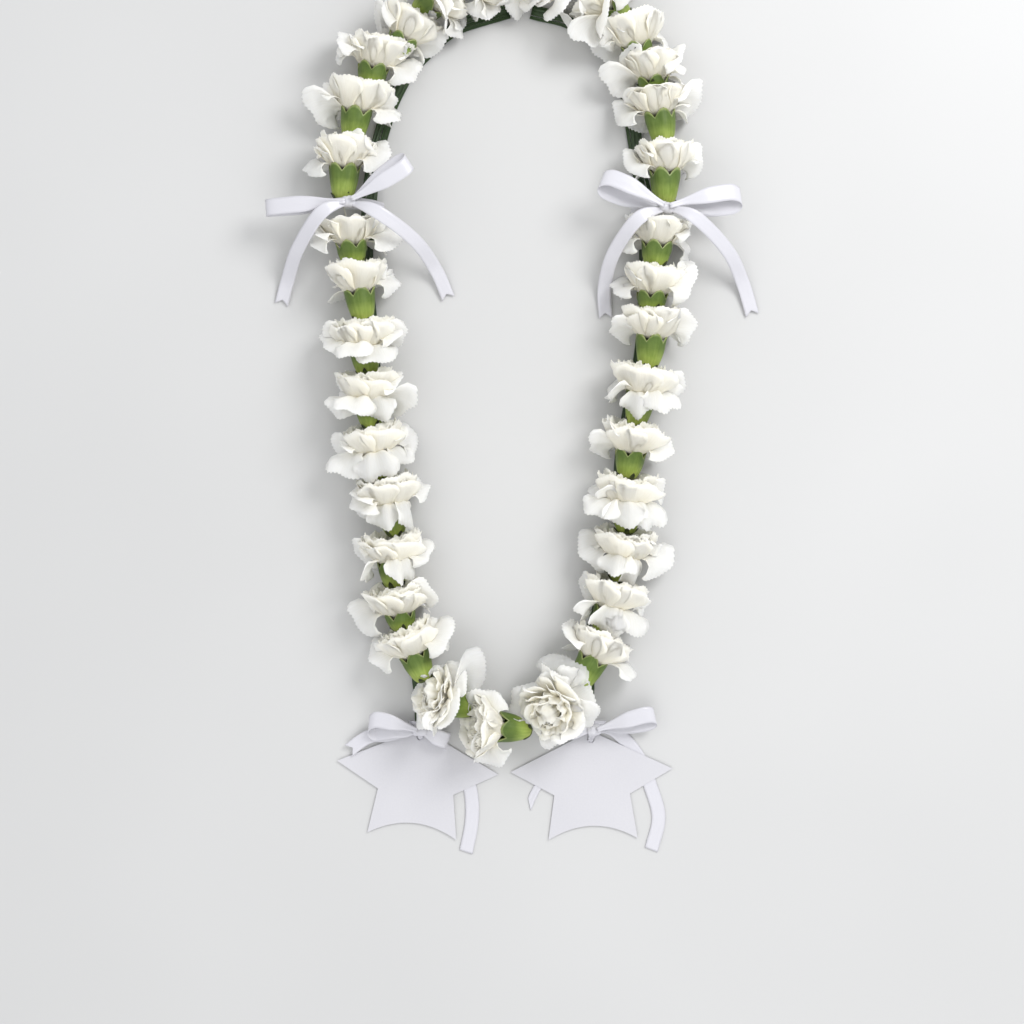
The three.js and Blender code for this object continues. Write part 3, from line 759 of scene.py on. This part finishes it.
openHeads = {16: 0.86, 18: 1}  # with the size of their petals
# one large thin petal at these heads' side
sheerPetals = {
    16: {"azimuth": 78, "size": 1.15, "droop": 0.6, "bank": 2.1},
    18: {"azimuth": 45, "size": 1.3, "droop": 0.3, "bank": 0},
}
petal = {
    "columns": 12,
    "rows": 7,
    "tooth": 0.025,
    "thickness": 0.3,
    "pivot": (6, 2),  # about which a petal leans
    "sizes": (0.88, 1.1),
    "breadths": (0.85, 1.15),
    "ruffles": (0.6, 1.4),
    "banks": (0.6, 1),
    "twists": (-0.12, 0.12),
    "wander": 0.22,  # how unevenly the petals of a layer stand round the head
    "seed": 100,
    "leastWrap": 7,  # the tightest radius that a petal wraps round
    "roundness": 0.92,
    "fullRound": 0.72,  # what the roundness comes to at a petal's sides
    "frontSide": (0, 0.6),  # cosines between which a petal comes to face the viewer
    "hinge": (9, 7),  # about which the petals that hang towards the viewer bend
    "overTeeth": 5,  # how high they pass the calyx
    "unequal": 0.4,  # how unequally they hang
    "hangLobes": 1.5,  # how much deeper their lobes are
    "hangNarrows": 0.25,
    "spreads": (0.12, 0.95),  # where along its length a petal widens
    "pleatsGrow": (0.15, 0.6),
    "rollFrom": 0.2,
    "marginFrom": 0.55,
    "foldWander": (0.5, 2.1),
    "smallLobes": (0.25, 8),
    "waves": (2.6, 1.7),
    "clearFrom": 0.35,  # below this share of its length a petal may lie in its own calyx
    "margin": 0.9,  # kept from a calyx
    "marginEnds": (2, 1.5),  # beyond its mouth and its narrow end
    "nearHead": 55,  # calyces within this reach are kept clear of
    # the petals towards the viewer are left out where the head's front, in radians, is below this,
    # by the share of it that their layer follows
    "bareBelow": {1: -0.45, 0.6: 2},
    "barePart": 0.5,  # the cosine past which they count as towards the viewer
    "facingGap": 1.5,  # between the two crowns that meet at the back of the neck, each
}
# the crowns right under the upper bows stay lower
crownLimits = {7: 17.5, 27: 17.5, 29: 17.5, 30: 18}
tallest = 60  # for the others, which is no limit


def nearCalyces(head):
    middle = onAxis(head, 4)

    def distance(other):
        return (onAxis(other, -other["calyx"] / 2) - middle).length

    return [other for other in heads if distance(other) < petal["nearHead"]]


# moves a point that lies in a calyx out of it, in the given direction
def clearOf(point, calyx, outwards):
    away = point - calyx["mouth"]
    depth = -away.dot(calyx["axis"])
    above, below = petal["marginEnds"]
    if not -above < depth < calyx["calyx"] + below:
        return point
    radial = away + calyx["axis"] * depth
    limit = calyxRadius(1 - depth / calyx["calyx"]) + petal["margin"]
    if radial.length >= limit:
        return point
    way = outwards - calyx["axis"] * outwards.dot(calyx["axis"])
    if way.length < 0.3:
        way = radial
    way.normalize()
    across = radial.dot(way)
    return point + way * (math.sqrt(across ** 2 + limit ** 2 - radial.length_squared) - across)


def aboveFloor(point):
    floor = floorUnder(point)
    rise = point.z - floor
    soft = under["softness"]
    if rise < soft:
        point.z = floor + soft * math.exp((rise - soft) / soft)
    return point


def bezier(handles, t):
    (a, b), (c, d), (e, f), (g, h) = handles
    s = 1 - t
    w = (s ** 3, 3 * s * s * t, 3 * s * t * t, t ** 3)
    v = (-3 * s * s, 3 * s * (s - 2 * t), 3 * t * (2 * s - t), 3 * t * t)
    place = (a * w[0] + c * w[1] + e * w[2] + g * w[3], b * w[0] + d * w[1] + f * w[2] + h * w[3])
    speed = (a * v[0] + c * v[1] + e * v[2] + g * v[3], b * v[0] + d * v[1] + f * v[2] + h * v[3])
    return place, speed


def turned(out, high, pivot, angle, size):
    r, h = (out - pivot[0]) * size, (high - pivot[1]) * size
    return (
        pivot[0] + r * math.cos(angle) + h * math.sin(angle),
        pivot[1] - r * math.sin(angle) + h * math.cos(angle),
    )


def addPetal(body, head, near, form, azimuth, limit, size, rng):
    size *= rng.uniform(*petal["sizes"])
    front = form["front"] * head["front"] * smooth(math.cos(azimuth), *petal["frontSide"])
    turn = rng.uniform(*form["droop"]) + head["open"] * math.cos(azimuth) + min(front, 0)
    bank = form["bank"] * math.sin(azimuth) * rng.choice((-1, -1, 1)) * rng.uniform(*petal["banks"])
    twist = rng.uniform(*petal["twists"]) + form["overlap"] + bank
    phase = rng.random() * math.tau
    hang = max(front, 0) * (1 + petal["unequal"] * math.sin(phase))
    ruffle = form["ruffle"] * rng.uniform(*petal["ruffles"]) * (1 + hang)
    pleatDepth = form["pleatDepth"] * (1 + hang)
    lobeDepth = form["lobeDepth"] * (1 + petal["hangLobes"] * hang)
    breadth = form["width"] * size * rng.uniform(*petal["breadths"])
    breadth *= 1 - petal["hangNarrows"] * hang
    curl = rng.uniform(*form["curl"])
    outwards = around(head, azimuth)
    sideways = outwards.cross(head["axis"])
    handles = []
    for k, (out, high) in enumerate(form["bend"]):
        if k == 1:
            high += petal["overTeeth"] * min(hang, 1)
        if k == 3:
            high += curl
        if k > 1:
            out, high = turned(out, high, petal["hinge"], hang, 1)
        handles.append(turned(out, high, petal["pivot"], turn, size))

    def place(across, along):
        (out, high), (dOut, dHigh) = bezier(handles, along)
        rise = math.atan2(dHigh, dOut)
        forward = outwards * math.cos(rise) + head["axis"] * math.sin(rise)
        spread = smooth(along, *petal["spreads"])
        half = mix(form["claw"], breadth, spread) / 2
        x = across * half
        roll = twist * smooth(along, petal["rollFrom"], 1)
        lateral = sideways * math.cos(roll) + sideways.cross(forward) * math.sin(roll)
        normal = lateral.cross(forward)
        edge = smooth(along, petal["marginFrom"], 1)
        swing, bends = petal["foldWander"]
        fold = across * form["pleats"] * math.pi + swing * math.sin(bends * across + phase) + phase
        small, often = petal["smallLobes"]
        lobes = lobeDepth * math.sin(fold) + small * math.sin(across * often + 2 * phase)
        pleats = pleatDepth * math.sin(fold) * smooth(along, *petal["pleatsGrow"])
        often, share = petal["waves"]
        waves = ruffle * math.sin(across * often + share * phase) * along ** 3
        cup = form["cup"] * across ** 2 * smooth(along, 0.2, 1) * 2
        bow = form["wrap"] * x * x / (2 * max(out, petal["leastWrap"]))
        point = onAxis(head, min(high, limit)) + outwards * (out - bow)
        rounding = 1 - math.sqrt(1 - petal["roundness"] * across ** 2)
        rounding *= form["round"] / petal["fullRound"]
        point += lateral * x + forward * ((lobes - rounding) * edge)
        point += normal * (pleats + waves + cup)
        for calyx in near:
            if calyx is not head:
                point = clearOf(point, calyx, up if form["front"] else outwards)
            elif along > petal["clearFrom"]:
                point = clearOf(point, calyx, outwards)
        return aboveFloor(point)

    bentGrid(body, petal["columns"], petal["rows"], place, form["finish"], petal["tooth"])


def makeBloom(i):
    head = heads[i]
    rng = random.Random(petal["seed"] + i)
    body = newBody()
    near = nearCalyces(head)
    limit = crownLimits.get(i, tallest)
    if head["facesAnother"]:
        limit = head["gapAhead"] / 2 - petal["facingGap"]
    wander = petal["wander"]
    size = openHeads.get(i, 1)
    for form in (openForm if i in openHeads else bloomForm).values():
        first = rng.random() * math.tau
        share = form["front"]
        bare = i not in openHeads and share and head["front"] < petal["bareBelow"][share]
        for k in range(form["count"]):
            azimuth = first + (k + rng.uniform(-wander, wander)) * math.tau / form["count"]
            if not (bare and math.cos(azimuth) > petal["barePart"]):
                addPetal(body, head, near, form, azimuth, min(limit, form["limit"]), size, rng)
    if i in sheerPetals:
        sheer = sheerPetals[i]
        droops = (sheer["droop"], sheer["droop"])
        form = {**bloomForm["guard"], "droop": droops, "bank": sheer["bank"], "finish": 2}
        azimuth = math.radians(sheer["azimuth"])
        addPetal(body, head, near, form, azimuth, form["limit"], sheer["size"], rng)
    thicken(body, petal["thickness"])
    name = f"{i + 1:02d}"
    return addPiece("bloom_" + name, body, list(petalFinish.values()), ["petals_" + name])


for i in range(len(heads)):
    makeBloom(i)
print("blooms made")


def makeBlade(side, rank):
    rng = random.Random(f"{side}{rank}")
    route = grassRoutes[side]
    if rank in grass["cutShort"][side]:
        route = route[:-1]
    rows = grass["rows"]
    points = smoothCurve(route, rows)
    ways = directions(points)
    offset = (rank - (grass["blades"] - 1) / 2) * grass["pitch"]
    phase = rng.random() * math.tau
    body = newBody()

    def wave(along, size, often, share):
        return size * math.sin(along * often + share * phase)

    def place(across, along):
        i = round(along * rows)
        sideways = ways[i].cross(up).normalized()
        wander = sum(wave(along, *form) for form in grass["wander"])
        tilt = wave(along, *grass["tilt"])
        x = across * grass["width"] / 2
        lift = grass["keel"] * abs(across) + tilt * across
        return points[i] + sideways * (offset + wander + x) + up * lift

    bentGrid(body, grass["columns"], rows, place)
    thicken(body, grass["thickness"])
    name = f"grass_{side}_{rank + 1}"
    addPiece(name + "_blade", body, [grassFinish], [name])


for side in grassRoutes:
    for rank in range(grass["blades"]):
        makeBlade(side, rank)
print("grass made")


satin = {
    "width": 9,
    "loopWidth": 10.8,
    "gathered": 3.6,
    "thickness": 0.3,
    "areaWidth": 8.8,  # the mean width that a whole bow's ribbon is cut from
    "knot": (4.4, 3.6, 3.0),  # half its length, width and height
    "knotGrid": (20, 8),
    "columns": 6,
    "rows": {"loop": 56, "tail": 60, "tie": 48},
    "cutFrom": 0.9,  # where a tail's cut end begins, as a share of its length
    "tieCrease": 0.3,
    "creases": (0.5, 2.2),  # how deep the gathered ribbon creases, and how many times
    "loopOpens": (0.02, 0.3),  # shares of the length between which the gathers open out
    "tailOpens": (0.0, 0.22),
    "threadedOpens": (0.2, 0.4),
    "knotWaist": 0.22,
    "knotCreases": (0.07, 17),
    # how far along towards a loop's end, how high, and to which side of the two layers
    "loopSteps": [
        (0.04, 0.8, 1), (0.25, 0.75, 1), (0.55, 1, 1), (0.85, 0.75, 1), (0.97, 0.35, 0.6),
        (1.0, 0, 0), (0.97, -0.3, -0.6), (0.85, -0.55, -1), (0.55, -0.65, -1), (0.25, -0.45, -1),
        (0.04, -0.4, -1),
    ],
}
bows = {
    "upper_left": {
        "knot": (-105, 200, 31),
        "loops": [
            {"end": (-159, 196.5, 27), "puff": 5, "splay": 0},
            {"end": (-66, 225, 38), "puff": 6, "splay": 3},
        ],
        "tails": [
            {
                "points": [
                    (-105, 200, 31), (-122, 192, 38), (-139, 171, 22), (-148, 152, 5),
                    (-152.5, 137, 0.9),
                ],
            },
            {
                "points": [
                    (-105, 200, 31), (-86, 192, 38), (-63, 176, 24), (-50, 159, 6),
                    (-42, 141, 0.9),
                ],
            },
        ],
        "tie": [
            (-105, 201, 31), (-112, 201, 28.5), (-117.5, 201, 22), (-115, 201, 13),
            (-103, 201, 6.6), (-94, 201, 5.4), (-86, 201, 5.6), (-84.5, 201, 10), (-91, 201, 22),
            (-99, 201, 28.5), (-105, 201, 31),
        ],
    },
    "upper_right": {
        "knot": (99.5, 196, 31),
        "loops": [
            {"end": (57, 212, 36), "puff": 6, "splay": 4},
            {"end": (148, 203, 27), "puff": 6, "splay": -4},
        ],
        "tails": [
            {
                "points": [
                    (99.5, 196, 31), (81, 188, 38), (66, 168, 22), (61, 148, 5), (62, 128, 0.9),
                ],
            },
            {
                "points": [
                    (99.5, 196, 31), (117, 189, 38), (140, 170, 21), (152, 151, 5),
                    (159, 130, 0.9),
                ],
            },
        ],
        "tie": [
            (99.5, 197.5, 31), (106, 197.5, 28.5), (111, 197.5, 22), (108.5, 197.5, 13),
            (97.5, 197.5, 6.6), (88, 197.5, 5.4), (80, 197.5, 5.6), (78.5, 197.5, 10),
            (85, 197.5, 22), (93.5, 197.5, 28.5), (99.5, 197.5, 31),
        ],
    },
    "lower_left": {
        "knot": (-60.5, -143.7, 8),
        "loops": [
            {"end": (-94, -140.5, 9), "puff": 6, "splay": 5},
            {"end": (-42, -150.5, 7), "puff": 2.5, "splay": 0},
        ],
        "tails": [
            {
                "points": [
                    (-60.5, -143.7, 8), (-78, -144.5, 8), (-95, -148.5, 4), (-108, -157.5, 2.9),
                ],
            },
            {
                "threaded": True,
                "cut": "straight",
                "points": [
                    (-60.5, -143.7, 8), (-60.6, -146, 6), (-60.65, -147.4, 3),
                    (-60.65, -148.1, 1.4), (-60.5, -149.2, 0.35), (-50, -158, 0.35),
                    (-37, -168.5, 0.35), (-28, -182, 0.35), (-26.5, -203, 0.35),
                    (-30.5, -225.5, 0.35),
                ],
            },
        ],
        "tie": [
            (-60.5, -139.5, 8), (-52.5, -139.5, 7), (-50, -139.5, 3), (-52, -139.5, 0.5),
            (-59, -139.5, 0.5), (-66, -139.5, 0.5), (-68, -139.5, 3), (-65.5, -139.5, 7),
            (-60.5, -139.5, 8),
        ],
    },
    "lower_right": {
        "knot": (54, -143.4, 8),
        "loops": [
            {"end": (94, -134.5, 10), "puff": 5, "splay": -3},
            {"end": (30, -144.5, 7), "puff": 2.5, "splay": 0},
        ],
        "tails": [
            {
                "cut": "straight",
                "points": [
                    (54, -143.4, 8), (65, -144, 3), (74, -150, 0.4), (84, -163, 0.35),
                    (91.5, -181, 0.35), (97, -202, 0.35), (92, -224, 0.35),
                ],
            },
            {
                "threaded": True,
                "cut": "slant",
                "width": 5,
                "points": [
                    (54, -143.4, 8), (52.9, -147, 6), (52.2, -149.2, 3), (52.15, -149.9, 1.4),
                    (52, -151, 0.35), (43, -159, 0.35), (28, -169, 0.35), (17, -182, 0.35),
                    (10, -196.5, 0.35),
                ],
            },
        ],
        "tie": [
            (54, -139.5, 8), (60, -139.5, 7), (62, -139.5, 3), (60, -139.5, 0.5), (53, -139.5, 0.5),
            (46, -139.5, 0.5), (44, -139.5, 3), (46.5, -139.5, 7), (54, -139.5, 8),
        ],
    },
}


def inFrame(points):
    return [Vector(point) + planShift for point in points]


# how far the end of a tail lies back, by the place across it
ribbonCuts = {
    "notch": lambda across: 3.5 * (1 - abs(across)),
    "slant": lambda across: 3.5 * (1 + across),
    "straight": lambda across: 0.6 * (1 + across),
}


# a length of ribbon along a route; widthAt says how wide it is, sideAt which way its width lies
def addRibbon(body, points, rows, widthAt, sideAt, cut=None, creases=0.0):
    line, length = evenCurve(points, rows)
    ways = directions(line)
    deep, often = satin["creases"]

    def place(across, along):
        i = round(along * rows)
        side = sideAt(along, ways[i])
        lifted = ways[i].cross(side).normalized()
        width = widthAt(along)
        pinch = 1 - width / satin["width"]
        crease = (creases + pinch) * deep * math.cos(across * math.pi * often)
        point = line[i] + side * (across * width / 2) + lifted * crease
        if cut and along > satin["cutFrom"]:
            back = ribbonCuts[cut](across) * (along - satin["cutFrom"]) / (1 - satin["cutFrom"])
            point -= ways[i] * back
        return point

    bentGrid(body, satin["columns"], rows, place)
    return length


def addLoop(body, knot, loop):
    start = Vector(knot) + planShift
    heading = Vector(loop["end"]) - Vector(knot)
    flat = Vector((heading.x, heading.y, 0)).normalized()
    side = flat.cross(up)
    puff = loop["puff"]
    points = []
    for share, rise, apart in satin["loopSteps"]:
        sway = side * loop["splay"] * apart * math.sin(share * math.pi * 0.6)
        points.append(start + heading * share + up * puff * rise + sway)

    def widthAt(along):
        opened = smooth(min(along, 1 - along), *satin["loopOpens"])
        return mix(satin["gathered"], satin["loopWidth"], opened)

    return addRibbon(body, points, satin["rows"]["loop"], widthAt, lambda along, way: side)


def levelSide(along, way):
    return way.cross(up).normalized()


def addTail(body, tail):
    width = tail.get("width", satin["width"])
    opens = satin["threadedOpens" if tail.get("threaded") else "tailOpens"]

    def widthAt(along):
        return mix(satin["gathered"], width, smooth(along, *opens))

    cut = tail.get("cut", "notch")
    points = inFrame(tail["points"])
    return addRibbon(body, points, satin["rows"]["tail"], widthAt, levelSide, cut=cut)


def addTie(body, points):
    return addRibbon(
        body, inFrame(points), satin["rows"]["tie"], lambda along: satin["gathered"],
        lambda along, way: Vector((0, 1, 0)), creases=satin["tieCrease"],
    )


def addKnot(body, knot, direction):
    centre = Vector(knot) + planShift
    along = Vector((direction.x, direction.y, 0)).normalized()
    wide = along.cross(up)
    a, b, c = satin["knot"]
    deep, often = satin["knotCreases"]

    def place(across, share):
        angle = across * math.pi
        squeeze = 1 - satin["knotWaist"] * (2 * share - 1) ** 2
        crease = 1 + deep * math.sin(share * often + 2 * math.sin(angle))
        x = (share - 0.5) * 2 * a
        level = wide * math.cos(angle) * b * squeeze * crease
        return centre + along * x + level + up * math.sin(angle) * c * squeeze * crease

    closeSeam(body, bentGrid(body, *satin["knotGrid"], place))
    return math.pi * (b + c)


def makeBow(name, bow):
    body = newBody()
    length = sum(addLoop(body, bow["knot"], loop) for loop in bow["loops"])
    length += sum(addTail(body, tail) for tail in bow["tails"])
    length += addTie(body, bow["tie"])
    length += addKnot(body, bow["knot"], Vector(bow["loops"][0]["end"]) - Vector(bow["knot"]))
    thicken(body, satin["thickness"])
    piece = addPiece("ribbon_" + name, body, [satinFinish], ["bow_" + name])
    flatLength = round(length * mm, 3)
    print("ribbon", name, flatLength)


for name, bow in bows.items():
    makeBow(name, bow)
print("bows made")


card = {
    "tip": 53.5,
    "top": 26,
    "notch": (25, -16),
    "foot": (29.5, -45.5),
    "arch": -36.7,
    "hole": 2.5,
    "holeSides": 24,
    "holeBelowTop": 5.4,
    "archSteps": 20,
    "thickness": 0.4,
    "height": 0.75,
    "places": {"left": ((-62.4, -169), -4.9), "right": ((52.6, -170.8), 1.3)},
}


def makeCard(name, place, turn):
    body = newBody()
    notchX, notchY = card["notch"]
    footX, footY = card["foot"]
    outline = [(0, card["top"]), (-card["tip"], 0), (-notchX, notchY)]
    for k in range(card["archSteps"] + 1):
        x = mix(-footX, footX, k / card["archSteps"])
        outline.append((x, mix(footY, card["arch"], 1 - (x / footX) ** 2)))
    outline += [(notchX, notchY), (card["tip"], 0)]
    ring = [body.verts.new((x, y, 0)) for x, y in outline]
    edges = [body.edges.new((a, b)) for a, b in zip(ring, ring[1:] + ring[:1])]
    holePlace = Matrix.Translation((0, card["top"] - card["holeBelowTop"], 0))
    hole = bmesh.ops.create_circle(
        body, segments=card["holeSides"], radius=card["hole"], matrix=holePlace)
    edges += list({edge for vert in hole["verts"] for edge in vert.link_edges})
    filled = bmesh.ops.triangle_fill(body, use_beauty=True, edges=edges)
    faces = [item for item in filled["geom"] if isinstance(item, bmesh.types.BMFace)]
    raised = bmesh.ops.extrude_face_region(body, geom=faces)
    lifted = [item for item in raised["geom"] if isinstance(item, bmesh.types.BMVert)]
    bmesh.ops.translate(body, vec=(0, 0, card["thickness"]), verts=lifted)
    bmesh.ops.recalc_face_normals(body, faces=body.faces[:])
    centre = Vector((*place, card["height"])) + planShift
    body.transform(Matrix.Translation(centre) @ Matrix.Rotation(math.radians(turn), 4, "Z"))
    piece = addPiece("card_blank_" + name, body, [cardFinish], ["card_" + name])
    for polygon in piece.data.polygons:
        polygon.use_smooth = False


for name, (place, turn) in card["places"].items():
    makeCard(name, place, turn)
print("cards made")


# the surface below
floorBody = bmesh.new()
bmesh.ops.create_grid(floorBody, x_segments=1, y_segments=1, size=view["floorSize"])
floorMesh = bpy.data.meshes.new("floor")
floorBody.to_mesh(floorMesh)
floorBody.free()
floorMesh.materials.append(floorMaterial())
floor = bpy.data.objects.new("floor", floorMesh)
floor.location = (0, 0, -view["floorDrop"])
bpy.context.scene.collection.objects.link(floor)
